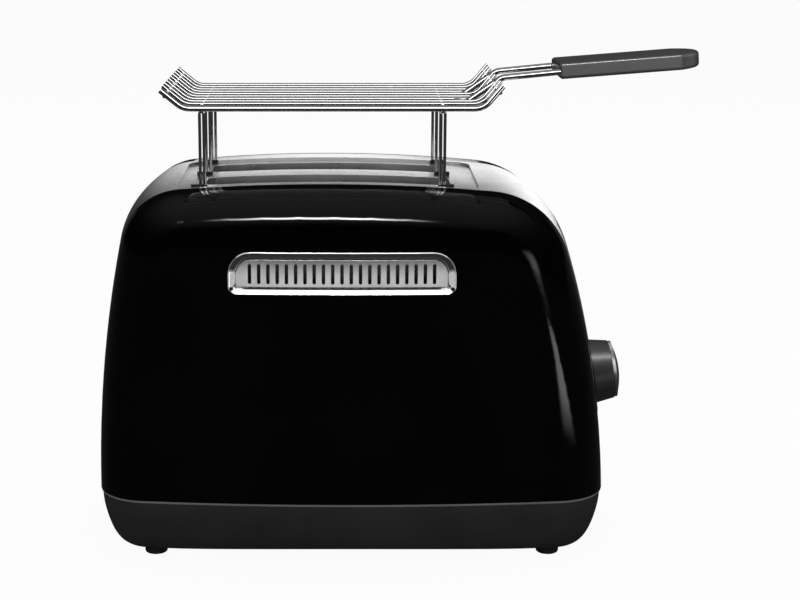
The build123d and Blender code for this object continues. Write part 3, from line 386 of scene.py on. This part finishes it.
# The vent's middle and size, the radii of its corners and the step between points round it, in metres
vent_middle = (-0.0052, 0.158)
vent_size = (0.1148, 0.022)
upper_corner = 0.0115
lower_corner = 0.0045
rim_step = 0.0008
# Profile of the rim, in millimetres inwards from the vent's outline and outwards from the wall
bezel_profile = np.array(
    [
        (0.0, -0.05), (0.0, 0.45), (0.08, 0.72), (0.25, 0.92), (0.5, 1.0), (0.75, 0.93), (1.0, 0.74),
        (1.4, 0.4), (2.0, -0.12), (2.6, -0.64), (3.2, -1.18), (3.8, -1.76), (4.2, -2.18), (4.32, -2.45),
        (4.35, -2.58), (2.82, -2.58), (2.82, -4.5), (1.62, -4.5), (1.62, -0.05),
    ]
) / 1000


def vent_ring(step):
    """Points and outward directions round the vent seen from the front: quarter circles at the corners are
    joined by straight runs, and a point is set at every step of the length."""
    half_wide = vent_size[0] / 2
    half_high = vent_size[1] / 2
    corners = [
        (half_wide, half_high, upper_corner, 0),
        (-half_wide, half_high, upper_corner, 0.5),
        (-half_wide, -half_high, lower_corner, 1),
        (half_wide, -half_high, lower_corner, 1.5),
    ]
    points = []
    directions = []
    for x, z, radius, start in corners:
        turn = math.pi * np.linspace(start, start + 0.5, 24)
        direction = np.stack([np.cos(turn), np.sin(turn)], axis=1)
        centre = np.array([x - math.copysign(radius, x), z - math.copysign(radius, z)])
        points.append(centre + radius * direction)
        directions.append(direction)
    points = np.concatenate([*points, points[0][:1]])
    directions = np.concatenate([*directions, directions[0][:1]])
    run = np.concatenate([[0], np.cumsum(np.hypot(*np.diff(points, axis=0).T))])
    at = np.arange(0, run[-1], step)
    even = np.stack([np.interp(at, run, points[:, k]) for k in (0, 1)], axis=1)
    turned = np.stack([np.interp(at, run, directions[:, k]) for k in (0, 1)], axis=1)
    return even + np.array(vent_middle), turned / np.hypot(*turned.T)[:, None]


def bezel(name, side):
    """Bezel on the front (side -1) or rear (side 1) wall: the profile is carried round the vent, wider by
    upper_excess along the top and narrower by as much along the bottom, and stands off the bowed wall."""
    ring, away = vent_ring(rim_step)
    inset = bezel_profile[:, :1] * (1 + upper_excess * away[None, :, 1])
    x = ring[None, :, 0] - inset * away[None, :, 0]
    z = ring[None, :, 1] - inset * away[None, :, 1]
    wall = np.sqrt(front_radius ** 2 - x ** 2) - front_radius + half_depth
    y = side * (wall + bezel_profile[:, 1:])
    return hoop(name, np.stack([x, y, z], axis=2))


bezel_chrome = Finish("bezel_bright")
casting = bezel_chrome.noise(0.002, detail=2.0)
tarnish = bezel_chrome.noise(0.008, detail=5.0).ramp(0.5, 0.8)
bezel_chrome.surface(
    Base_Color=bezel_chrome.blend(tarnish, (0.78, 0.78, 0.8, 1), (0.68, 0.68, 0.69, 1)),
    Metallic=1.0,
    Roughness=0.05 + tarnish * 0.08 + casting * 0.03,
    Normal=bezel_chrome.relief(casting, 0.000002),
)
for name, side in (("front", -1), ("rear", 1)):
    vent_bezel = bezel(name + "_vent_bezel", side)
    vent_bezel.data.materials.append(bezel_chrome.material)
    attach(vent_bezel, "housing")
    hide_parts(name + "_vent_trim")

# Vent grilles. Steel plates punched with a row of upright slots, brushed along their length and held behind
# the bezels. The press leaves each plate slightly crowned from its upper to its lower edge.
grille_crown = 9.0
grille_steel = Finish("brushed_plate")
scratches = grille_steel.noise(0.00025, stretch=(0.03, 1, 1), detail=3.0)
patches = grille_steel.noise(0.01, detail=4.0)
level = grille_steel.axis(grille_steel.place(at=(0, 0, vent_middle[1])), "Z")
grille_steel.surface(
    Base_Color=grille_steel.blend(patches.ramp(0.3, 0.7), (0.55, 0.55, 0.555, 1), (0.64, 0.64, 0.645, 1)),
    Metallic=1.0,
    Roughness=0.26 + scratches * 0.16,
    Normal=grille_steel.relief(scratches * 0.00002 - level * level * grille_crown, 1.0),
)
grille_steel.on("front_vent_grille", "rear_vent_grille")

# Heater cards. Split mica sheet that stands on edge beside the slots and between them, silvery brown with
# flakes and with darker scorching behind the ribbon.
mica = Finish("mica_flakes")
flake = mica.cells(420.0, stretch=(1, 1, 1.6))
scorch = mica.noise(0.03, stretch=(0.4, 1, 1), detail=4.0).ramp(0.4, 0.75)
mica.surface(
    Base_Color=mica.blend(
        scorch, mica.blend(flake, (0.42, 0.34, 0.23, 1), (0.62, 0.54, 0.42, 1)), (0.20, 0.13, 0.08, 1)
    ),
    Roughness=0.3 + flake * 0.3,
    Normal=mica.relief(flake, 0.00002),
)
mica.on("heater_card_front", "heater_card_centre", "heater_card_rear")

# Heating ribbons. Flat nickel-chromium strip laid over the cards, one ribbon on each outer card and one on
# each side of the centre card, dull and blue-brown from its first heating.
ribbon_alloy = Finish("oxidised_ribbon")
oxide = ribbon_alloy.noise(0.006, detail=5.0)
scale_marks = ribbon_alloy.noise(0.0005, detail=3.0)
ribbon_alloy.surface(
    Base_Color=ribbon_alloy.blend(oxide.ramp(0.35, 0.65), (0.30, 0.24, 0.20, 1), (0.20, 0.22, 0.27, 1)),
    Metallic=1.0,
    Roughness=0.4 + scale_marks * 0.25,
    Normal=ribbon_alloy.relief(scale_marks, 0.00001),
)
ribbon_alloy.on("heater_ribbon_front", "heater_ribbon_rear", "heater_ribbons_centre")

# Bread guides, guide rod and dial shaft, and the wires, grid and legs of the warming rack. Drawn steel
# wire, cut, bent, resistance welded and chromed; drawing marks run along it and the welds are a little hazy.
wire_chrome = Finish("chromed_wire")
drawn = wire_chrome.noise(0.0012, stretch=(0.3, 1, 0.3), detail=3.0)
haze_spots = wire_chrome.noise(0.007, detail=5.0).ramp(0.5, 0.8)
wire_chrome.surface(
    Base_Color=wire_chrome.blend(haze_spots, (0.86, 0.86, 0.87, 1), (0.74, 0.74, 0.75, 1)),
    Metallic=1.0,
    Roughness=0.035 + haze_spots * 0.06 + drawn * 0.03,
    Normal=wire_chrome.relief(drawn, 0.000002),
)
wire_chrome.on(
    "bread_guide_front_outer", "bread_guide_front_inner", "bread_guide_rear_inner", "bread_guide_rear_outer",
    "guide_rod", "dial_shaft", "rack_grid", "rack_legs", "rack_handle_wires",
)

# Return spring of the carriage. Coiled from hard spring wire with fine drawing lines, oiled, and slipped
# over the guide rod under the bush.
spring_wire = Finish("oiled_spring_wire")
oil = spring_wire.noise(0.003, detail=4.0)
spring_wire.surface(
    Base_Color=spring_wire.blend(oil.ramp(0.4, 0.7), (0.48, 0.47, 0.45, 1), (0.32, 0.29, 0.25, 1)),
    Metallic=1.0,
    Roughness=0.22 + oil * 0.2,
    Normal=spring_wire.relief(oil, 0.00001),
)
spring_wire.on("return_spring")

# Latch magnet: core and armature of soft iron with a grey phosphate skin, and a coil of lacquered
# copper wire in layers, held by varnish.
iron = Finish("phosphated_iron")
sheets = iron.bands("X", 320.0, 0.4)
rust = iron.noise(0.002, detail=5.0).ramp(0.6, 0.8)
iron.surface(
    Base_Color=iron.blend(rust, (0.13, 0.13, 0.14, 1), (0.14, 0.09, 0.06, 1)),
    Metallic=1.0,
    Roughness=0.45 + rust * 0.3 + sheets * 0.08,
    Normal=iron.relief(sheets, 0.00004),
)
iron.on("latch_core", "latch_armature")

copper = Finish("copper_winding")
turns = copper.bands("Z", 520.0, 0.3)
varnish = copper.noise(0.003, detail=4.0).ramp(0.4, 0.7)
copper.surface(
    Base_Color=copper.blend(varnish, (0.62, 0.25, 0.11, 1), (0.34, 0.11, 0.04, 1)),
    Metallic=1.0,
    Roughness=0.22 + varnish * 0.15,
    Normal=copper.relief(turns, 0.00012),
)
copper.on("latch_coil")

# Control panel in the right end, with the recess for the lever. Moulded in black plastic with a satin
# face that shows rub marks.
panel_plastic = moulded(
    "panel_satin", colour=(0.005, 0.005, 0.0055), worn=(0.008, 0.008, 0.0085),
    roughness=0.28, grain=0.0002, depth=0.000006,
)
panel_plastic.on("control_panel")

# Sliding bush of the carriage, which runs on the guide rod, and the case of the dial's potentiometer.
# Both are moulded in smooth black nylon, slightly milky.
bush_nylon = moulded(
    "bush_nylon", colour=(0.018, 0.018, 0.019), worn=(0.028, 0.028, 0.029),
    roughness=0.34, grain=0.0005, depth=0.00001,
)
bush_nylon.on("carriage_bush", "dial_potentiometer")

# Dial knob, lever tab and push buttons. Moulded in charcoal plastic with a satin face and a very fine
# grain; the knob is pressed on its shaft, the tab on the lever's arm.
knob_plastic = moulded(
    "knob_satin", colour=(0.018, 0.0185, 0.020), worn=(0.026, 0.0265, 0.028),
    roughness=0.29, grain=0.0002, depth=0.000006,
)
knob_plastic.on("dial_knob", "lever_tab", "cancel_button", "reheat_button", "defrost_button", "bagel_button")

# Cap of the dial: a turned steel disc with a bright ring, spun against abrasive so that its marks run
# round the dial's axis.
dial_centre = (0.13248, 0.0, 0.0833)
dial_tilt = math.radians(7.5)
cap_steel = Finish("spun_cap")
offset = cap_steel.place(at=dial_centre)
axis = (math.cos(dial_tilt), 0.0, math.sin(dial_tilt))
height = cap_steel.node(
    "ShaderNodeVectorMath", {"operation": "DOT_PRODUCT"}, {0: offset, 1: axis}, output="Value"
)
length = cap_steel.node("ShaderNodeVectorMath", {"operation": "LENGTH"}, {0: offset}, output="Value")
# Distance from the dial's axis: root of the squared distance from its centre less the squared height over it
radius = (length * length - height * height).root()
rings = cap_steel.node(
    "ShaderNodeTexNoise", {"noise_dimensions": "1D"}, {"W": radius, "Scale": 9000.0, "Detail": 3.0}
)
wear = cap_steel.noise(0.004, detail=5.0).ramp(0.5, 0.8)
cap_steel.surface(
    Base_Color=cap_steel.blend(wear, (0.56, 0.56, 0.57, 1), (0.48, 0.48, 0.48, 1)),
    Metallic=1.0,
    Roughness=0.22 + rings * 0.18 + wear * 0.06,
    Normal=cap_steel.relief(rings, 0.00001),
)
cap_steel.on("dial_cap")

# Control board with its four push switches, fixed to posts behind the panel. Glass-fibre sheet under green
# solder resist, which lies lighter over the tracks.
board = Finish("solder_resist")
track_sockets = {
    "Vector": board.place((0, 1, 1)), "Scale": 220.0, "Mortar Size": 0.03,
    "Color1": (0, 0, 0, 1), "Color2": (0, 0, 0, 1), "Mortar": (1, 1, 1, 1),
}
tracks = board.node("ShaderNodeTexBrick", {"offset": 0.5}, track_sockets)
weave = board.noise(0.0008, detail=2.0)
board.surface(
    Base_Color=board.blend(tracks, (0.02, 0.11, 0.045, 1), (0.05, 0.2, 0.08, 1)),
    Roughness=0.3 + weave * 0.15,
    Normal=board.relief(weave, 0.00002),
)
board.on("control_board")

# Indicator lenses. Small pins of red polycarbonate between the buttons, frosted inside, that stand in holes
# of the panel in front of the board.
lens = Finish("red_lens")
frost = lens.noise(0.0004, detail=2.0)
lens.surface(
    Base_Color=lens.blend(frost, (0.35, 0.012, 0.008, 1), (0.5, 0.03, 0.02, 1)),
    Roughness=0.12 + frost * 0.12,
    Normal=lens.relief(frost, 0.000005),
)
lens.on("indicator_lenses")

# Grip of the warming rack. Glass-filled nylon moulded over the wires, charcoal, with a fine grain and
# edges rubbed smooth by hands.
grip_nylon = moulded(
    "grip_grain", colour=(0.026, 0.0265, 0.028), worn=(0.036, 0.0365, 0.038),
    roughness=0.3, grain=0.0003, depth=0.000008,
)
grip_nylon.on("rack_grip")

# Studio. A white floor that shows only the object's soft shadow, a world that is white to the camera and
# dim in reflections, and soft lamps. Many lamps are linked to one group of pieces, such as the enamel.
reach = 30
floor_corners = [(-reach, -reach, 0), (reach, -reach, 0), (reach, reach, 0), (-reach, reach, 0)]
floor_mesh = bpy.data.meshes.new("floor")
floor_mesh.from_pydata(floor_corners, [], [(0, 1, 2, 3)])
floor = bpy.data.objects.new("floor", floor_mesh)
bpy.context.scene.collection.objects.link(floor)

paper = Finish("white_paper")
fibres = paper.noise(0.002, detail=3.0)
paper.surface(
    Base_Color=paper.blend(fibres, (0.86, 0.86, 0.86, 1), (0.9, 0.9, 0.9, 1)),
    Roughness=0.9,
    Specular_IOR_Level=0.0,
)
to_camera = paper.node("ShaderNodeLightPath", output="Is Camera Ray")
to_gloss = paper.node("ShaderNodeLightPath", output="Is Glossy Ray")
white_glow = paper.node("ShaderNodeEmission", None, {"Color": (1, 1, 1, 1), "Strength": 1.0})
dim_glow = paper.node("ShaderNodeEmission", None, {"Color": (1, 1, 1, 1), "Strength": 0.03})
lit_paper = Wire(paper, paper.shader.outputs["BSDF"])
seen = paper.node("ShaderNodeMixShader", None, {0: to_camera * 0.95, 1: lit_paper, 2: white_glow})
seen_or_mirrored = paper.node("ShaderNodeMixShader", None, {0: to_gloss, 1: seen, 2: dim_glow})
paper.feed(paper.tree.nodes["Material Output"].inputs["Surface"], seen_or_mirrored)
floor_mesh.materials.append(paper.material)

world = bpy.data.worlds.new("studio")
bpy.context.scene.world = world
air = Graph(world)
heading = air.node("ShaderNodeTexCoord", output="Generated")
back = air.axis(heading, "Y")
up = air.axis(heading, "Z")
# What a glossy piece mirrors is a faint grey and a dim sky overhead, which is left out towards the front
overcast = up * up * up * up.ramp(0.0, 0.9) * back.ramp(-0.72, -0.56)
mirrored = 0.006 + overcast * 0.3
from_camera = air.node("ShaderNodeLightPath", output="Is Camera Ray")
from_gloss = air.node("ShaderNodeLightPath", output="Is Glossy Ray")
strength = from_camera + (1 - from_camera) * (from_gloss * mirrored + (1 - from_gloss) * 0.35)
air.feed(air.tree.nodes["Background"].inputs["Color"], (1, 1, 1, 1))
air.feed(air.tree.nodes["Background"].inputs["Strength"], strength)


def receivers(name, state, *members):
    """Collection that shuts its members out of a lamp (EXCLUDE) or keeps the lamp for them (INCLUDE)."""
    group = bpy.data.collections.new(name)
    for member in members:
        group.objects.link(bpy.data.objects[member])
    for entry in group.collection_objects:
        entry.light_linking.link_state = state
    return group


shells = ("front_shell", "rear_shell")
wires = ("rack_grid", "rack_legs", "rack_handle_wires")
grilles = ("front_vent_grille", "rear_vent_grille")
bezels = ("front_vent_bezel", "rear_vent_bezel")
handles = ("dial_knob", "rack_grip")
no_enamel = receivers("no_enamel", "EXCLUDE", *shells)
no_gloss = receivers("no_gloss", "EXCLUDE", *shells, *wires, *grilles, *bezels, *handles)
gloss_only = receivers("gloss_only", "INCLUDE", *shells, *bezels)
enamel_only = receivers("enamel_only", "INCLUDE", *shells)
rear_enamel_only = receivers("rear_enamel_only", "INCLUDE", "rear_shell")
band_only = receivers("band_only", "INCLUDE", "steel_band")
wires_only = receivers("wires_only", "INCLUDE", *wires)
grilles_only = receivers("grilles_only", "INCLUDE", *grilles)
bezels_only = receivers("bezels_only", "INCLUDE", *bezels)
handles_only = receivers("handles_only", "INCLUDE", *handles)
grip_only = receivers("grip_only", "INCLUDE", "rack_grip")


def softbox(name, place, aim, size, radiance, feather=0.0, lit=no_enamel):
    """Area lamp at place that faces aim and lights what lit lets in. Its radiance holds in the middle and
    falls off smoothly over the feather share of its width and height, at each edge."""
    lamp = bpy.data.lights.new(name, "AREA")
    lamp.shape = "RECTANGLE"
    lamp.size, lamp.size_y = size
    lamp.energy = 4 * size[0] * size[1] * radiance
    if feather:
        glow = Graph(lamp)
        spot = glow.node("ShaderNodeNewGeometry", output="Parametric")
        fall = 1.0
        for letter in ("X", "Y"):
            from_edge = 0.5 - abs(glow.axis(spot, letter) - 0.5)
            fall = from_edge.ramp(0.0, feather) * fall
        glow.feed(glow.tree.nodes["Emission"].inputs["Strength"], fall)
    holder = bpy.data.objects.new(name, lamp)
    holder.location = place
    holder.rotation_mode = "QUATERNION"
    holder.rotation_quaternion = (Vector(aim) - Vector(place)).to_track_quat("-Z", "Y")
    holder.visible_camera = False
    holder.light_linking.receiver_collection = lit
    bpy.context.scene.collection.objects.link(holder)


softbox(
    "overhead", (-0.07, -0.81, 1.5), (-0.02, -0.06, 0.19), (0.8, 0.14), 60.0, feather=0.48, lit=gloss_only
)
softbox(
    "side_strip", (0.93, -0.95, 0.27), (0.12, -0.06, 0.15), (0.4, 0.62), 1.9, feather=0.45, lit=enamel_only
)
softbox("floor_strip", (0.52, -0.5, 0.01), (0.5267, -0.5074, 1.0), (0.16, 0.8), 3.0, feather=0.3, lit=None)
softbox("rear_crest", (0.0, 1.6, 0.55), (0, 0, 0.19), (2.4, 0.4), 2.5, feather=0.3, lit=rear_enamel_only)
softbox("front_panel", (-0.2, -1.5, 1.35), (0, 0, 0.15), (2.4, 1.1), 1.2, feather=0.1, lit=no_gloss)
softbox("near_panel", (0.0, -1.9, 0.45), (0, 0, 0.2), (2.2, 0.5), 0.9, lit=no_gloss)
softbox("wire_glint", (0.0, -1.3, 0.9), (0, 0, 0.22), (3.6, 0.6), 3.0, feather=0.2, lit=wires_only)
softbox("handle_glint", (0.13, -0.58, 1.4), (0.13, 0, 0.12), (0.9, 0.2), 75.0, feather=0.3, lit=handles_only)
softbox("grip_front", (0.3, -1.6, 0.3), (0.15, 0, 0.25), (1.8, 0.8), 1.8, feather=0.1, lit=grip_only)
softbox("low_panel", (0.0, -0.75, 0.012), (0, -0.74, 1.0), (2.0, 0.9), 0.8, lit=grilles_only)
softbox("bezel_top", (0.0, -0.35, 1.3), (0, -0.09, 0.15), (3.0, 2.6), 0.95, feather=0.1, lit=bezels_only)
for name, x in (("bezel_left", -0.85), ("bezel_right", 0.85)):
    softbox(name, (x, -0.3, 0.012), (x, -0.29, 1.0), (1.4, 1.0), 0.45, feather=0.15, lit=bezels_only)
softbox("bezel_front", (0.0, -1.2, 0.013), (0, -1.19, 1.0), (3.4, 0.9), 0.6, feather=0.15, lit=bezels_only)
softbox("top_panel", (0.0, 0.35, 1.9), (0, 0, 0.15), (2.2, 1.2), 0.5, lit=no_gloss)
softbox("left_panel", (-1.6, 0.1, 0.9), (0, 0, 0.12), (1.2, 1.4), 0.4)
softbox("right_panel", (1.6, 0.1, 0.9), (0, 0, 0.12), (1.2, 1.4), 1.0)
softbox("rear_panel", (0.47, 1.9, 0.34), (0, 0, 0.19), (2.6, 0.7), 1.65, feather=0.3, lit=band_only)
softbox("left_end", (-1.5, -1.3, 0.5), (0, 0, 0.12), (1.0, 1.0), 0.8, feather=0.2, lit=band_only)
softbox("rear_fill", (0.0, 1.5, 1.5), (0, 0, 0.1), (2.0, 0.8), 0.5, lit=no_gloss)
